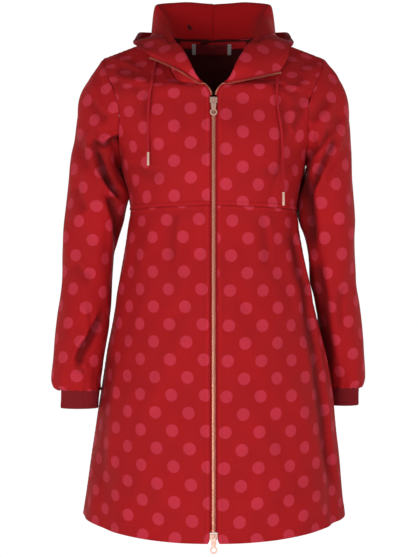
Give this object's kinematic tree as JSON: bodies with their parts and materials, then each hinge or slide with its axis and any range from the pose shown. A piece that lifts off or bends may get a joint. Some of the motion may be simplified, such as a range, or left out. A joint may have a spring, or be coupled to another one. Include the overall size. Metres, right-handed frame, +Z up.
{
  "type": "softshell jacket",
  "caption": "Long hooded A-line softshell jacket, filled out with no wearer, zip closed, hood thrown back and its zip edges open as lapels.",
  "frame": {"origin": "middle of the neck at shoulder height, where a wearer carries the jacket", "axes": "+Z up, the front faces -Y, +X is the wearer's left"},
  "size_m": [0.5713, 0.3867, 0.9879],
  "materials": {
    "cloth": "smooth matt softshell, dark red with a lighter tonal dot",
    "rib": "dark red rib knit",
    "lining": "plain red jersey",
    "tape": "woven zip tape",
    "cord": "round woven cord",
    "label": "bare woven label",
    "chain": "copper-toned zip teeth",
    "metal": "polished pale rose metal"
  },
  "bodies": {
    "jacket": {"front_bodice_left": "cloth", "front_bodice_right": "cloth", "back_bodice": "cloth", "front_skirt_left": "cloth", "front_skirt_right": "cloth", "back_skirt": "cloth", "sleeve_left": "cloth", "cuff_left": "rib", "hood_left": "cloth", "hood_lining_left": "lining", "hood_facing_left": "cloth", "zip_tape_left": "tape", "lapel_zip_left": "chain", "drawcord_left": "cord", "cord_tip_left": "metal", "sleeve_right": "cloth", "cuff_right": "rib", "hood_right": "cloth", "hood_lining_right": "lining", "hood_facing_right": "cloth", "zip_tape_right": "tape", "lapel_zip_right": "chain", "drawcord_right": "cord", "cord_tip_right": "metal", "neck_facing": "cloth", "neck_label": "label", "zip_chain": "chain", "top_slider": "metal", "bottom_slider": "metal"},
    "top_pull": {"top_pull": "metal"},
    "bottom_pull": {"bottom_pull": "metal"}
  },
  "joints": [
    {"name": "top_pull_hinge", "type": "hinge", "parent": "jacket", "child": "top_pull", "pos_m": [0, -0.12406, -0.10813], "axis": [-1, 0, 0], "range_deg": [0, 135]},
    {"name": "bottom_pull_hinge", "type": "hinge", "parent": "jacket", "child": "bottom_pull", "pos_m": [0, -0.19403, -0.86321], "axis": [-1, 0, 0], "range_deg": [0, 135]}
  ]
}
